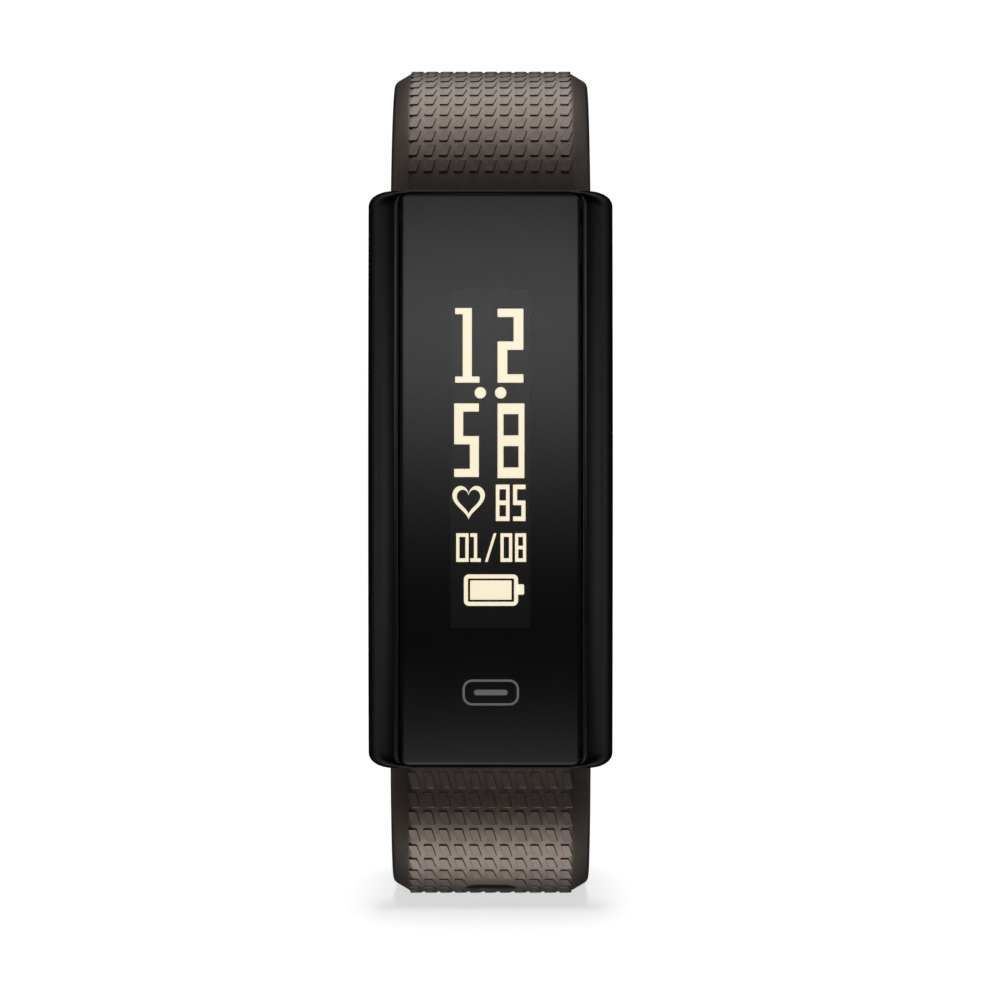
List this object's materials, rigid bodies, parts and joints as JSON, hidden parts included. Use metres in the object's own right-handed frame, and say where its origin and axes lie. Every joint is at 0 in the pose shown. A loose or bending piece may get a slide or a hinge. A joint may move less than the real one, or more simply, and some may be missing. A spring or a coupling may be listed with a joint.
{
  "type": "fitness tracker band",
  "caption": "Wrist band with a slim arched display case, touch key, rear pulse sensor and two swinging straps with a pin buckle and a sliding keeper.",
  "frame": {"origin": "centre of the sensor window's flat outer face, which rests on the wrist", "axes": "+Y out of the back of the case towards the wrist, +Z along the case towards the buckle strap, +X to the right of someone facing the display"},
  "size_m": [0.0196, 0.0613, 0.0691],
  "materials": {
    "case_black": "high gloss",
    "lens_glass": "polished",
    "adhesive_black": "matt",
    "display_panel": "polished, lit figures",
    "foam_black": "foam",
    "flex_amber": "satin",
    "contact_gold": "plated",
    "board_green": "solder mask",
    "tin_plate": "satin",
    "chip_black": "matt",
    "ceramic_white": "fired",
    "battery_foil": "foil",
    "foam_white": "foam",
    "weight_metal": "sintered",
    "cover_black": "fine matt grain",
    "seal_grey": "matt",
    "screw_steel": "satin",
    "window_glass": "polished",
    "shield_black": "matt",
    "led_green": "clear",
    "diode_dark": "clear",
    "bar_steel": "drawn",
    "strap_taupe": "satin, pearly",
    "buckle_metal": "dark brushed"
  },
  "bodies": {
    "case": {"front_case": "case_black", "lens": "lens_glass", "lens_adhesive": "adhesive_black", "display_panel": "display_panel", "display_foam": "foam_black", "display_flex": "flex_amber", "touch_electrode": "contact_gold", "touch_spring": "contact_gold", "main_board": "board_green", "shield_can": "tin_plate", "processor_chip": "chip_black", "memory_chip": "chip_black", "motion_sensor": "chip_black", "antenna": "ceramic_white", "battery": "battery_foil", "battery_pad": "foam_white", "motor_can": "tin_plate", "rear_cover": "cover_black", "cover_seal": "seal_grey", "cover_screws": "screw_steel", "sensor_window": "window_glass", "light_shield": "shield_black", "sensor_board": "board_green", "sensor_leds": "led_green", "photodiode": "diode_dark", "charge_contacts": "contact_gold", "upper_bar_tube": "bar_steel", "upper_bar_spring": "bar_steel", "lower_bar_tube": "bar_steel", "lower_bar_spring": "bar_steel"},
    "motor_weight": {"motor_rotor": "weight_metal"},
    "upper_tip_left": {"upper_bar_tip_left": "bar_steel"},
    "upper_tip_right": {"upper_bar_tip_right": "bar_steel"},
    "lower_tip_left": {"lower_bar_tip_left": "bar_steel"},
    "lower_tip_right": {"lower_bar_tip_right": "bar_steel"},
    "upper_strap": {"upper_strap": "strap_taupe"},
    "lower_strap": {"lower_strap": "strap_taupe"},
    "buckle": {"buckle_frame": "buckle_metal", "buckle_bar": "bar_steel"},
    "tang": {"buckle_tang": "buckle_metal"},
    "keeper": {"keeper": "strap_taupe"}
  },
  "joints": [
    {"name": "upper_strap_swing", "type": "hinge", "parent": "case", "child": "upper_strap", "pos_m": [0, -0.0053, 0.0202], "axis": [1, 0, 0], "range_deg": [-20, 35]},
    {"name": "lower_strap_swing", "type": "hinge", "parent": "case", "child": "lower_strap", "pos_m": [0, -0.0053, -0.0202], "axis": [-1, 0, 0], "range_deg": [-8, 30]},
    {"name": "buckle_swing", "type": "hinge", "parent": "upper_strap", "child": "buckle", "pos_m": [0, 0.03346, -0.0028], "axis": [1, 0, 0], "range_deg": [-70, 40]},
    {"name": "tang_swing", "type": "hinge", "parent": "buckle", "child": "tang", "pos_m": [0, 0.03346, -0.0028], "axis": [1, 0, 0], "range_deg": [0, 70]},
    {"name": "keeper_slide", "type": "slide", "parent": "upper_strap", "child": "keeper", "axis": [0, 0, 1], "range_m": [-0.0035, 0.008]},
    {"name": "upper_tip_left_press", "type": "slide", "parent": "case", "child": "upper_tip_left", "axis": [1, 0, 0], "range_m": [0, 0.00127], "stiffness_N_per_m": 400, "springref_m": -0.002},
    {"name": "upper_tip_right_press", "type": "slide", "parent": "case", "child": "upper_tip_right", "axis": [-1, 0, 0], "range_m": [0, 0.00127], "stiffness_N_per_m": 400, "springref_m": -0.002},
    {"name": "lower_tip_left_press", "type": "slide", "parent": "case", "child": "lower_tip_left", "axis": [1, 0, 0], "range_m": [0, 0.00127], "stiffness_N_per_m": 400, "springref_m": -0.002},
    {"name": "lower_tip_right_press", "type": "slide", "parent": "case", "child": "lower_tip_right", "axis": [-1, 0, 0], "range_m": [0, 0.00127], "stiffness_N_per_m": 400, "springref_m": -0.002},
    {"name": "motor_spin", "type": "hinge", "parent": "case", "child": "motor_weight", "pos_m": [0, -0.005, 0.01288], "axis": [0, 1, 0], "continuous": true}
  ]
}
